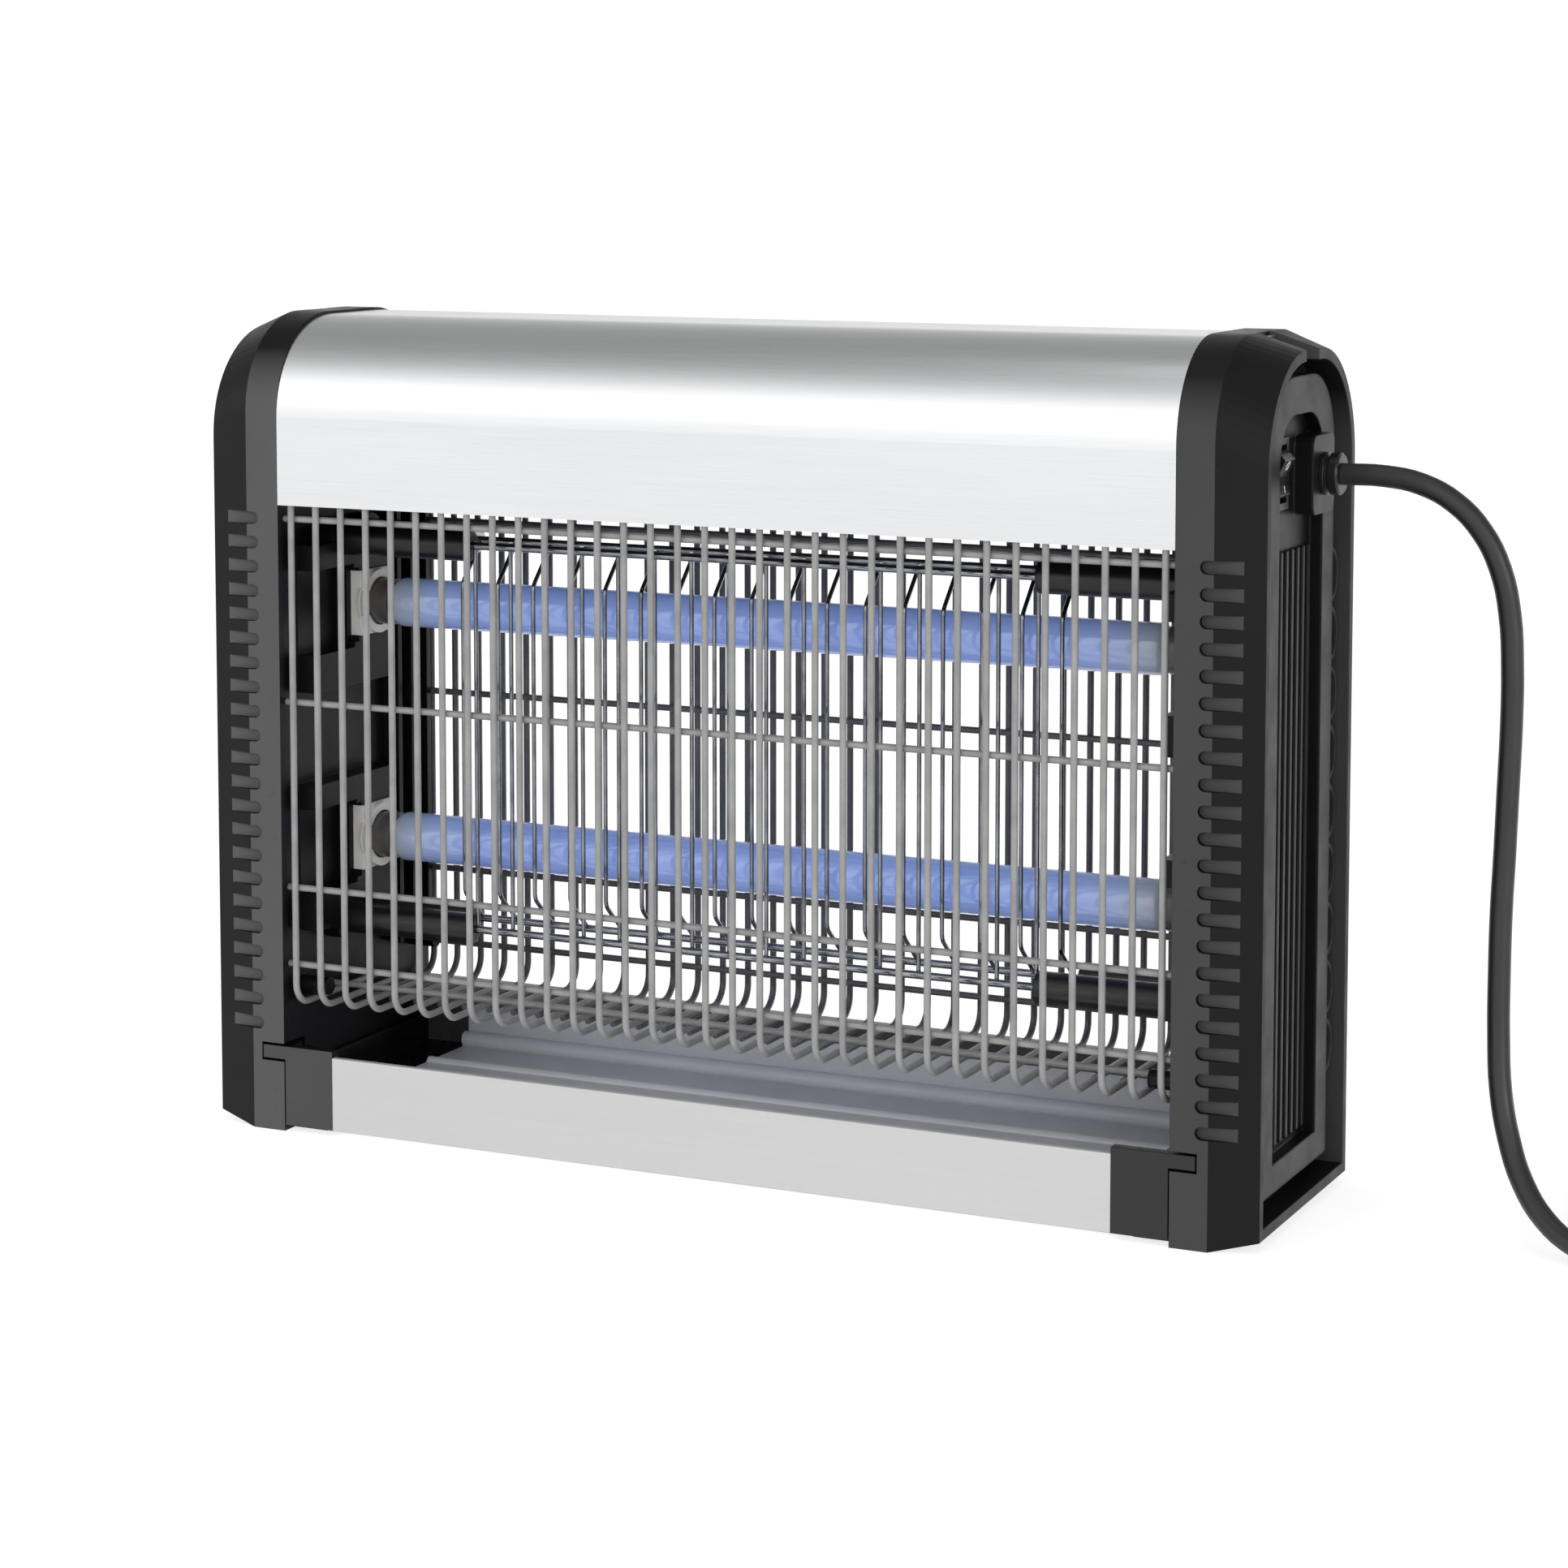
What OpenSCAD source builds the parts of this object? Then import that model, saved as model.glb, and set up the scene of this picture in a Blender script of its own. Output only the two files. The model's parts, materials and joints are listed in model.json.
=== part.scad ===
// Electric insect killer: two ultraviolet tubes and an electrode grid between two wire guards,
// held by two end covers, with a rounded housing on top and a slide-out tray below.
// Millimetres. X to the right, Y to the rear, Z up. It stands on Z = 0.

/* [Overall] */
// Width over both end covers
body_w = 349; // [330:1:370]
// Depth from the front plane to the rear plane
body_d = 90.6; // [84:0.2:100]
// Height of the end covers
body_h = 260.2; // [250:0.2:275]
// Clear width between the end covers
opening_w = 297.2; // [290:0.2:310]
// Height of the lower edge of the top housing
housing_z = 200.6; // [196:0.2:206]
// Wall thickness of the plastic mouldings
wall = 2.5; // [2:0.1:3]

/* [End covers] */
// Width of the flat band on the front of a cover
band_w = 11.5; // [8:0.1:14]
// Depth lost over the bevel, at the front and the rear
bevel_d = 3.5; // [2:0.1:5]
// Height lost over the bevel, at the top
bevel_h = 4.7; // [3:0.1:6]
// Corner radius of the band
band_r = 31; // [25:0.5:36]
// Corner radius of the outer rim
rim_r = 34; // [28:0.5:38]
// Thickness of the outer rim
rim_t = 3.2; // [2.5:0.1:4]
// Number of grip recesses up each front edge
recess_count = 22; // [16:1:24]
// Spacing of the grip recesses
recess_pitch = 7.71; // [7:0.01:9]

/* [Guards] */
// Diameter of the guard wire
guard_d = 2.1; // [1.8:0.1:2.6]
// Number of upright wires in a guard
guard_count = 33; // [25:2:37]
// Spacing of the upright wires
guard_pitch = 9.07; // [8:0.01:10]

/* [Electrodes] */
// Diameter of the electrode wire
wire_d = 1.4; // [1:0.1:2]
// Diameter of the rods that carry the electrode wires
rod_d = 2.4; // [2:0.1:3]
// Spacing of the electrode wires on one rod pair
wire_pitch = 12.72; // [11:0.01:14]
// Diameter of an insulator
insulator_d = 10; // [8:0.5:12]

/* [Tubes] */
// Diameter of the glass
tube_d = 15.8; // [15:0.1:16.5]
// Height of the upper tube's axis
upper_z = 165.8; // [160:0.1:172]
// Height of the lower tube's axis
lower_z = 89.1; // [84:0.1:96]

/* [Tray] */
// Height of the top edge of the tray front
tray_top = 25.4; // [22:0.1:27]
// Gap on each side of the tray
tray_gap = 0.4; // [0.3:0.1:0.8]

/* [Mains lead] */
// Diameter of the mains lead
cord_d = 6.6; // [6:0.1:7.5]
// Mean radius of the coil of spare lead
coil_r = 38; // [34:1:42]

/* [Hidden] */

in_x = opening_w / 2;             // inner face of a cover
out_x = body_w / 2;               // outer face of a cover
half_d = body_d / 2;
bevel_x = in_x + band_w;
rim_half = half_d - bevel_d;
rim_top = body_h - bevel_h;
rim_low = 3.5;
seat_x = in_x - 0.4;              // backs of the lamp holders and insulators
floor_x = 161.8;                  // inner face of the wall inside the rim
floor_t = 2.5;
panel_x = 172;                    // outer face of a side panel
sunk_x = 168;                     // floor of a side panel's recess
panel_y = -1.5;                   // middle of a side panel
slot_y0 = -7.5;                   // hanging slot in the top of the rim
slot_y1 = 4.5;
hole_z = 252.4;                   // hanging hole
recess_top = 196.2;
recess_h = 3.9;

guard_y = half_d - 2.2;           // plane of the upright guard wires
guard_r = 7;                      // bend at the foot of an upright wire
front_run_z = 40.8;
rear_run_z = 34.4;
guard_top = 206;
front_rows = [196, 137.75, 78.3, 53.65];
rear_rows = [188, 130.3, 70.4, 45.4];

electrode_top = 187.2;
electrode_low = 64.2;
front_rod_y = -15;
rear_rod_y = 1.5;
bent_y = -10.7;
bead_r = 1.1;                     // bead at a bend of an electrode wire
front_ins_x = 96.5;
rear_ins_x = 104.5;

cap_x = 132.5;                    // joint between glass and cap
cap_end = 143.5;
cap_r = 7.4;
pin_gap = 5;

switch_y = -13.5;
switch_z = 220.2;
switch_x = 165.2;                 // rocker axis
rocker_on = 8;                    // tilt of the rocker when switched on
gland_y = 13;
gland_z = 218.5;
gland_end = 179.5;

tray_low = 2;
tray_x = 130.8;                   // joint between the tray and its ends

// Route of the lead from the gland to the coil, and from the coil to the plug
lead_path = [[179.5, 13, 218.5], [192, 13, 218.4], [203, 13, 216.5], [213, 13, 211.5],
             [221, 13, 203.5], [226.5, 13, 193], [229.5, 13, 180], [230.5, 13, 165],
             [230.5, 13, 148], [230, 12.5, 130], [229.5, 12, 112], [229, 11, 94], [229, 10, 76],
             [229.5, 8.5, 58], [231, 6, 43], [234.5, 2.5, 30], [240, -2.5, 19], [248, -8, 10.5],
             [258, -13, 5.5], [270, -17, 3.7], [280, -18.4, 3.5], [290, -18.6, 3.5]];
coil_at = [298, 26];
coil_h = 2 * cord_d;
tail_path = [[298, -18.6, 10.2], [308, -18.6, 10.8], [318, -18.6, 13.2], [328, -18.6, 16.9],
             [336, -18.6, 19], [344, -18.6, 19.5]];
plug_at = [344, -18.6, 19.5];

// Profile in Y and Z, extruded along X
module along_x(x0, x1) {
    translate([x0, 0, 0])
        rotate([90, 0, 90])
            linear_extrude(x1 - x0)
                children();
}

// Round bar along X, Y or Z
module bar_x(x0, x1, y, z, r) {
    translate([x0, y, z])
        rotate([0, 90, 0])
            cylinder(h = x1 - x0, r = r, $fn = 48);
}

module bar_y(y0, y1, x, z, r) {
    translate([x, y0, z])
        rotate([-90, 0, 0])
            cylinder(h = y1 - y0, r = r, $fn = 48);
}

module bar_z(z0, z1, x, y, r) {
    translate([x, y, z0])
        cylinder(h = z1 - z0, r = r, $fn = 48);
}

module box(low, high) {
    translate(low)
        cube(high - low);
}

module mirror_left() {
    mirror([1, 0, 0])
        children();
}

// Upright outline with two round top corners
module outline(half, low, high, r, fn = 96) {
    translate([-half, low])
        square([2 * half, high - r - low]);
    translate([-half + r, low])
        square([2 * (half - r), high - low]);
    intersection() {
        for (side = [-1, 1])
            translate([side * (half - r), high - r])
                circle(r, $fn = fn);
        translate([-half, high - r])
            square([2 * half, r]);
    }
}

// Rectangle with four round corners
module round_box(x0, x1, y0, y1, r) {
    translate([x0 + r, y0])
        square([x1 - x0 - 2 * r, y1 - y0]);
    translate([x0, y0 + r])
        square([x1 - x0, y1 - y0 - 2 * r]);
    for (x = [x0 + r, x1 - r], y = [y0 + r, y1 - r])
        translate([x, y])
            circle(r, $fn = 32);
}

// Round flexible lead: one closed tube through the points of a route
module lead(route, d, sides = 10) {
    last = len(route) - 1;
    rings = [for (i = [0:last])
        let (a = route[max(i - 1, 0)],
             b = route[min(i + 1, last)],
             t = (b - a) / norm(b - a),
             u = cross([0, 1, 0.01], t) / norm(cross([0, 1, 0.01], t)),
             v = cross(t, u))
        [for (k = [0:sides - 1])
            route[i] + d / 2 * (cos(360 * k / sides) * u + sin(360 * k / sides) * v)]];
    walls = [for (i = [0:last - 1], k = [0:sides - 1])
        let (n = (k + 1) % sides)
        [i * sides + k, (i + 1) * sides + k, (i + 1) * sides + n, i * sides + n]];
    ends = [[for (k = [0:sides - 1]) k],
            [for (k = [sides - 1:-1:0]) last * sides + k]];
    polyhedron([for (ring = rings) each ring], concat(walls, ends), convexity = 6);
}

// --- top housing -------------------------------------------------------------------------

module housing() {
    color([0.8, 0.81, 0.83])
        difference() {
            along_x(-in_x, in_x) outline(half_d, housing_z, body_h - 0.8, band_r);
            along_x(-in_x - 1, in_x + 1) outline(half_d - 1, housing_z - 1, body_h - 1.8, band_r - 1);
        }
}

module housing_floor() {
    color([0.16, 0.16, 0.17])
        difference() {
            box([-in_x, -half_d + 1, 206.5], [in_x, half_d - 1, 208]);
            for (x = [-118, 118], y = [-36, 36])
                bar_z(200, 210, x, y, 1.6);
            for (x = [-140, 140])
                box([x - 4, -8, 200], [x + 4, 8, 210]);
        }
}

module floor_screws() {
    color([0.7, 0.7, 0.72])
        for (x = [-118, 118], y = [-36, 36]) {
            bar_z(203, 210, x, y, 1.5);
            bar_z(208, 210, x, y, 3.2);
        }
}

// --- end covers --------------------------------------------------------------------------

module grip_recesses() {
    for (i = [0:recess_count - 1])
        translate([0, 0, recess_top - i * recess_pitch]) {
            bar_y(-half_d - 1, -half_d + 2, in_x + 9.4, 0, recess_h / 2);
            box([in_x + 9.4, -half_d - 1, -recess_h / 2], [out_x, -half_d + 2, recess_h / 2]);
        }
}

module cover(switched) {
    difference() {
        union() {
            along_x(in_x, bevel_x) outline(half_d, 0, body_h, band_r);
            hull() {
                along_x(bevel_x - 0.1, bevel_x) outline(half_d, 0, body_h, band_r, 64);
                along_x(out_x - 0.1, out_x) outline(rim_half, rim_low, rim_top, rim_r, 64);
            }
        }
        along_x(in_x - 1, floor_x) outline(half_d - wall, wall, body_h - wall, band_r - wall);
        along_x(floor_x + floor_t, out_x + 1)
            outline(rim_half - rim_t, rim_low + rim_t, rim_top - rim_t, rim_r - rim_t);
        // hanging slot
        box([159.4, slot_y0, 249], [out_x + 1, slot_y1, body_h + 1]);
        // vents beside the panel
        for (side = [-1, 1], k = [0:8])
            box([floor_x - 1, side * 35.2 - 3, 37 + k * 17.8], [sunk_x, side * 35.2 + 3, 52 + k * 17.8]);
        // corner of the tray front
        box([in_x - 1, -half_d - 1, 22.4], [in_x + 8.2, -33, 28.2]);
        grip_recesses();
        mirror([0, 1, 0])
            grip_recesses();
        // screws into the end frame
        for (y = [-22, 20], z = [30, 200])
            bar_x(floor_x - 1, sunk_x, y, z, 1.7);
        if (switched) {
            box([floor_x - 1, switch_y - 6.6, switch_z - 9.6], [sunk_x, switch_y + 6.6, switch_z + 9.6]);
            bar_x(floor_x - 1, sunk_x, gland_y, gland_z, 5);
        }
    }
    // runner under the tray
    box([136, -40, 0.2], [in_x + 0.2, 40, 1.6]);
}

module cover_left() {
    color([0.11, 0.11, 0.12])
        mirror_left() cover(false);
}

module cover_right() {
    color([0.11, 0.11, 0.12])
        cover(true);
}

// Raised panel inside the rim, with a sunken field of upright ridges
module side_panel(switched) {
    difference() {
        translate([0, panel_y, 0])
            along_x(floor_x + floor_t, panel_x) outline(30.5, 12.5, 248, 22);
        // sunken field
        along_x(sunk_x, panel_x + 1)
            translate([-2.5, 0])
                outline(20.5, 21, 237, 14);
        // hollow back
        translate([0, panel_y, 0])
            along_x(floor_x, sunk_x - 2) outline(28.3, 14.7, 245.8, 19.8);
        if (switched)
            box([floor_x, switch_y - 5.6, switch_z - 9], [panel_x, switch_y + 5.6, switch_z + 9]);
    }
    for (k = [0:6])
        box([sunk_x - 0.2, -19 + k * 5.2, 24], [sunk_x + 1.6, -16.8 + k * 5.2, 197.5]);
    if (switched)
        along_x(sunk_x - 1.9, 174) round_box(2, 22.4, 207, 230, 3);
}

module side_panel_left() {
    color([0.13, 0.13, 0.14])
        mirror_left() side_panel(false);
}

module side_panel_right() {
    color([0.13, 0.13, 0.14])
        side_panel(true);
}

// Inner moulding that closes a cover and carries the lamp holders, insulators and guards
module end_frame() {
    difference() {
        union() {
            along_x(in_x, in_x + wall)
                outline(half_d - wall, wall, body_h - wall, band_r - wall);
            // blocks round the lamp holders
            for (z = [upper_z, lower_z])
                box([141.5, -35, z - 26], [in_x + 0.8, 13, z + 21]);
            // stiffening posts
            for (y = [18.5, 27, 37])
                box([143.5, y, 49], [in_x + 1.1, y + 2.4, 199]);
            // bosses at the feet of the guards
            bar_x(138.5, in_x + 0.9, -33.5, 45.5, 2.8);
            bar_x(138.5, in_x + 0.9, 33.5, 47.6, 2.7);
            // sockets of the insulators
            for (z = [electrode_top, electrode_low]) {
                bar_x(143, in_x + 1.3, front_rod_y, z, 7);
                bar_x(143, in_x + 1.3, rear_rod_y, z, 7);
            }
            // screw posts
            for (y = [-22, 20], z = [30, 200])
                bar_x(in_x + 1.6, floor_x, y, z, 3.5);
        }
        // deep pockets beside the lamp holders
        for (z = [upper_z, lower_z])
            box([140, -36, z - 14], [seat_x, -11.5, z + 13]);
        // low wall beside each lamp holder
        for (z = [upper_z, lower_z])
            box([139, -12, z - 12.4], [144.4, -8.8, z + 11.6]);
        // seats of the lamp holders, with a way through for the pins
        for (z = [upper_z, lower_z]) {
            box([140, -9, z - 10.5], [seat_x, 9, z + 10.5]);
            bar_x(140, in_x + 5, 0, z, 5);
        }
        for (z = [electrode_top, electrode_low]) {
            bar_x(140, seat_x, front_rod_y, z, insulator_d / 2);
            bar_x(140, seat_x, rear_rod_y, z, insulator_d / 2);
            bar_x(140, in_x + 5, front_rod_y, z, 1.6);
            bar_x(140, in_x + 5, rear_rod_y, z, 1.6);
        }
        for (y = [-22, 20], z = [30, 200])
            bar_x(in_x + 3, floor_x + 1, y, z, 1.3);
        // way for the wires into the housing
        box([in_x - 1, -8, 212], [in_x + 5, 8, 236]);
        // corner of the tray front
        box([in_x - 1, -half_d, 22.4], [in_x + 5, -33, 28.2]);
    }
}

module end_frame_left() {
    color([0.12, 0.12, 0.13])
        mirror_left() end_frame();
}

module end_frame_right() {
    color([0.12, 0.12, 0.13])
        end_frame();
}

module cover_screws() {
    color([0.6, 0.6, 0.62])
        for (side = [0, 1])
            mirror([side, 0, 0])
                for (y = [-22, 20], z = [30, 200]) {
                    bar_x(in_x + 4, floor_x + floor_t, y, z, 1.3);
                    bar_x(floor_x + floor_t, floor_x + floor_t + 1.6, y, z, 3);
                }
}

// Steel strip with the hanging hole, at the inner end of the slot
module hanger() {
    difference() {
        box([159.6, slot_y0 + 0.3, 228], [161.6, slot_y1 - 0.3, 259]);
        bar_x(150, 170, -1.5, hole_z, 2.2);
        bar_x(150, 170, -1.5, 234, 1.6);
    }
}

module hanger_left() {
    color([0.62, 0.62, 0.62])
        mirror_left() hanger();
}

module hanger_right() {
    color([0.62, 0.62, 0.62])
        hanger();
}

module hanger_screws() {
    color([0.6, 0.6, 0.62])
        for (side = [0, 1])
            mirror([side, 0, 0]) {
                bar_x(157.6, 161.7, -1.5, 234, 1.5);
                bar_x(157.6, 159.6, -1.5, 234, 3);
            }
}

// --- guards ------------------------------------------------------------------------------

// One guard in its own frame: uprights at -guard_y, feet running to the rear at run_z,
// and a foot bar lying across them
module guard(rows, run_z, run_end, bar_at) {
    r = guard_d / 2;
    for (i = [0:guard_count - 1]) {
        x = (i - (guard_count - 1) / 2) * guard_pitch;
        bar_z(run_z + guard_r, guard_top, x, -guard_y, r);
        bar_y(-guard_y + guard_r, run_end, x, run_z, r);
        translate([x, -guard_y + guard_r, run_z + guard_r])
            rotate([90, 0, 90])
                rotate([0, 0, 180])
                    rotate_extrude(angle = 90, $fn = 48)
                        translate([guard_r, 0])
                            circle(r, $fn = 48);
    }
    for (z = rows)
        bar_x(-in_x, in_x, -guard_y + guard_d - 0.2, z, r);
    bar_x(-in_x, in_x, bar_at, run_z + guard_d - 0.2, r);
}

module front_guard() {
    color([0.68, 0.68, 0.67])
        guard(front_rows, front_run_z, 6, -18);
}

module rear_guard() {
    color([0.45, 0.45, 0.45])
        mirror([0, 1, 0])
            guard(rear_rows, rear_run_z, -0.3, -3.8);
}

// Member between the end frames, under the bends of the rear guard
module rear_crossbar() {
    color([0.3, 0.3, 0.31])
        difference() {
            box([-in_x, 36.6, 28.6], [in_x, 44.4, 32.9]);
            box([-in_x + 6, 38.2, 27], [in_x - 6, 42.8, 31.5]);
        }
}

// --- tubes -------------------------------------------------------------------------------

module glass(z) {
    r = tube_d / 2;
    translate([0, 0, z])
        rotate([0, 90, 0])
            rotate_extrude($fn = 96)
                difference() {
                    union() {
                        translate([0, -cap_x + 4])
                            square([r, 2 * cap_x - 8]);
                        translate([0, -cap_x])
                            square([r - 4, 2 * cap_x]);
                        for (end = [-1, 1])
                            translate([r - 4, end * (cap_x - 4)])
                                circle(4, $fn = 48);
                    }
                    translate([-1, -cap_x - 1])
                        square([3.4, 2 * cap_x + 2]);
                    translate([-1, -cap_x + 5])
                        square([r + 0.2, 2 * cap_x - 10]);
                }
}

module caps(z) {
    for (side = [0, 1])
        mirror([side, 0, 0])
            bar_x(cap_x, cap_end, 0, z, cap_r);
}

module pins(z) {
    for (side = [0, 1], y = [-pin_gap / 2, pin_gap / 2])
        mirror([side, 0, 0])
            bar_x(cap_end, cap_end + 6.8, y, z, 1.17);
}

module rotors(z) {
    for (side = [0, 1])
        mirror([side, 0, 0])
            difference() {
                bar_x(cap_end + 0.2, seat_x - 0.2, 0, z, 6);
                for (y = [-pin_gap / 2, pin_gap / 2])
                    bar_x(cap_end - 1, in_x + 1, y, z, 1.2);
            }
}

module upper_tube() {
    color([0.62, 0.72, 0.98])
        glass(upper_z);
}

module lower_tube() {
    color([0.62, 0.72, 0.98])
        glass(lower_z);
}

module upper_tube_caps() {
    color([0.25, 0.25, 0.26])
        caps(upper_z);
}

module lower_tube_caps() {
    color([0.25, 0.25, 0.26])
        caps(lower_z);
}

module upper_tube_pins() {
    color([0.75, 0.7, 0.55])
        pins(upper_z);
}

module lower_tube_pins() {
    color([0.75, 0.7, 0.55])
        pins(lower_z);
}

module upper_rotors() {
    color([0.85, 0.84, 0.8])
        rotors(upper_z);
}

module lower_rotors() {
    color([0.85, 0.84, 0.8])
        rotors(lower_z);
}

module holder(z) {
    difference() {
        union() {
            box([140.5, -9, z - 10.5], [seat_x, 9, z + 10.5]);
            bar_x(138.5, 141, 0, z, 10.4);
        }
        bar_x(137, cap_end + 0.1, 0, z, 7.8);
        bar_x(137, in_x + 1, 0, z, 6.05);
        // open mouth that the tube slides in by
        box([137, -11, z - 4], [140.4, 0, z + 4]);
    }
}

module upper_left_holder() {
    color([0.86, 0.86, 0.84])
        mirror_left() holder(upper_z);
}

module upper_right_holder() {
    color([0.86, 0.86, 0.84])
        holder(upper_z);
}

module lower_left_holder() {
    color([0.86, 0.86, 0.84])
        mirror_left() holder(lower_z);
}

module lower_right_holder() {
    color([0.86, 0.86, 0.84])
        holder(lower_z);
}

// --- electrodes --------------------------------------------------------------------------

module front_electrodes() {
    color([0.85, 0.86, 0.88]) {
        for (z = [electrode_top, electrode_low])
            bar_x(-front_ins_x - 20, front_ins_x + 20, front_rod_y, z, rod_d / 2);
        for (i = [-7.5:1:7.5])
            bar_z(electrode_low - 1.4, electrode_top + 1.4, i * wire_pitch,
                  front_rod_y + 1.3, wire_d / 2);
    }
}

// Slanted end of a bent electrode wire, with a bead at the bend, up or down to its rod
module slanted_end(x, knee_z, rod_z) {
    reach = rear_rod_y - bent_y;
    rise = rod_z - knee_z;
    translate([x, bent_y, knee_z]) {
        sphere(bead_r, $fn = 32);
        rotate([-atan2(reach, rise), 0, 0])
            translate([0, 0, 0.8])
                cylinder(h = norm([reach, rise]) - 0.8, r = wire_d / 2, $fn = 32);
    }
}

module rear_electrodes() {
    knee_top = electrode_top - 12.4;
    knee_low = electrode_low + 10.6;
    color([0.85, 0.86, 0.88]) {
        for (z = [electrode_top, electrode_low])
            bar_x(-rear_ins_x - 20, rear_ins_x + 20, rear_rod_y, z, rod_d / 2);
        for (i = [-8:8]) {
            x = i * wire_pitch;
            bar_z(knee_low + 0.8, knee_top - 0.8, x, bent_y, wire_d / 2);
            slanted_end(x, knee_top, electrode_top);
            slanted_end(x, knee_low, electrode_low);
        }
    }
}

module insulators(y, inner_x) {
    for (side = [0, 1], z = [electrode_top, electrode_low])
        mirror([side, 0, 0])
            difference() {
                bar_x(inner_x, seat_x, y, z, insulator_d / 2);
                bar_x(inner_x - 1, inner_x + 20, y, z, rod_d / 2);
            }
}

module front_insulators() {
    color([0.1, 0.1, 0.1])
        insulators(front_rod_y, front_ins_x);
}

module rear_insulators() {
    color([0.1, 0.1, 0.1])
        insulators(rear_rod_y, rear_ins_x);
}

module electrode_ferrules() {
    color([0.7, 0.7, 0.7])
        difference() {
            bar_x(-rear_ins_x, -rear_ins_x + 1.6, rear_rod_y, electrode_top, 4.2);
            bar_x(-rear_ins_x - 1, -rear_ins_x + 3, rear_rod_y, electrode_top, rod_d / 2);
        }
}

// --- electrical parts on the housing floor --------------------------------------------------

module transformer_core() {
    color([0.35, 0.35, 0.37])
        difference() {
            box([-100, -20, 208], [-56, 20, 244]);
            box([-92, -21, 216], [-82, 21, 236]);
            box([-74, -21, 216], [-64, 21, 236]);
        }
}

module transformer_coil() {
    color([0.75, 0.6, 0.2])
        difference() {
            box([-92, -27, 216], [-64, 27, 236]);
            box([-82, -21, 215.9], [-74, 21, 236.1]);
            box([-100, -20, 208], [-92, 20, 244]);
            box([-64, -20, 208], [-56, 20, 244]);
        }
}

module circuit_board() {
    color([0.1, 0.35, 0.2])
        difference() {
            box([-30, -34, 212], [80, 34, 213.6]);
            for (x = [-25, 75], y = [-29, 29])
                bar_z(211, 215, x, y, 1.6);
        }
    color([0.8, 0.8, 0.78])
        for (x = [-25, 75], y = [-29, 29])
            bar_z(208, 214.2, x, y, 1.6);
}

module board_parts() {
    color([0.2, 0.25, 0.5]) {
        for (x = [-14, 4])
            bar_z(213.6, 235, x, 16, 7);
        for (x = [26, 50])
            box([x, -24, 213.6], [x + 18, -6, 230]);
        for (k = [0:3])
            bar_x(22 + k * 12, 31 + k * 12, 18, 215.6, 2);
        box([-20, -24, 213.6], [8, -10, 224]);
    }
}

module terminal_block() {
    color([0.9, 0.9, 0.86])
        difference() {
            box([96, -18, 208], [112, 18, 224]);
            for (y = [-12, 0, 12])
                bar_x(95, 113, y, 213, 2);
            for (y = [-12, 0, 12])
                bar_z(214, 225, 104, y, 2);
        }
}

// Two level wires side by side, with a step down at one end
module wire_pair(x0, x1, y, z0, z1) {
    for (side = [-1, 1]) {
        bar_x(x0, x1, side * y, z0, 0.9);
        bar_z(z1, z0 + 0.5, x0 + 0.4, side * y, 0.9);
    }
}

module wiring() {
    color([0.55, 0.12, 0.1]) {
        // switch and lead to the terminal block
        wire_pair(118, 156, 4, 222, 213);
        bar_x(112.2, 119, -4, 213, 0.9);
        bar_x(112.2, 119, 4, 213, 0.9);
        // terminal block to the board
        for (y = [-12, 12])
            bar_x(80.2, 95.8, y, 212.8, 0.9);
        // board to the transformer
        for (y = [-12, 12])
            bar_x(-55.8, -30.2, y, 212.8, 0.9);
        // transformer to the left end
        for (y = [-5, 5])
            bar_x(-156, -100.2, y, 226, 0.9);
    }
}

// --- switch ------------------------------------------------------------------------------

module switch_body() {
    color([0.07, 0.07, 0.07])
        difference() {
            union() {
                box([sunk_x, switch_y - 6.5, switch_z - 10.3],
                    [sunk_x + 1.5, switch_y + 6.5, switch_z + 10.3]);
                box([154, switch_y - 5.5, switch_z - 8.9], [sunk_x, switch_y + 5.5, switch_z + 8.9]);
            }
            box([156.5, switch_y - 4.8, switch_z - 8.3], [sunk_x + 2, switch_y + 4.8, switch_z + 8.3]);
            bar_y(switch_y - 5.3, switch_y + 5.3, switch_x, switch_z, 1.25);
        }
}

module switch_rocker() {
    color([0.05, 0.05, 0.05])
        translate([switch_x, switch_y, switch_z])
            rotate([0, rocker_on, 0]) {
                intersection() {
                    rotate([90, 0, 0])
                        translate([0, 0, -4.5])
                            linear_extrude(9)
                                polygon([[-3, -5], [4, -8], [7, -8], [4.6, 0], [7, 8], [4, 8], [-3, 5]]);
                    rotate([90, 0, 0])
                        cylinder(h = 10, r = 8, center = true, $fn = 64);
                }
                rotate([90, 0, 0])
                    cylinder(h = 10.4, r = 1.2, center = true, $fn = 32);
            }
}

module switch_terminals() {
    color([0.75, 0.7, 0.55])
        for (dz = [-5, 1.5])
            box([151.3, switch_y - 2.4, switch_z + dz], [154, switch_y + 2.4, switch_z + dz + 0.8]);
}

// --- tray --------------------------------------------------------------------------------

// Cross-section of the trough: high front wall, low rear wall, two long ribs on the floor
module tray() {
    color([0.36, 0.37, 0.39])
        along_x(-tray_x, tray_x) {
            translate([-43.3, tray_low])
                square([1.6, 22.4]);
            translate([-43.3, 9.4])
                square([86, 1.6]);
            translate([41.1, tray_low])
                square([1.6, 25.2]);
            for (y = [-30, 30])
                translate([y, tray_low])
                    square([1.6, 8]);
            translate([38.8, 13.2])
                circle(2.6, $fn = 48);
            translate([15, 10.6])
                circle(2, $fn = 48);
        }
}

module tray_front() {
    color([0.83, 0.83, 0.84])
        box([-tray_x, -half_d, tray_low], [tray_x, -43.3, tray_top]);
}

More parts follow.
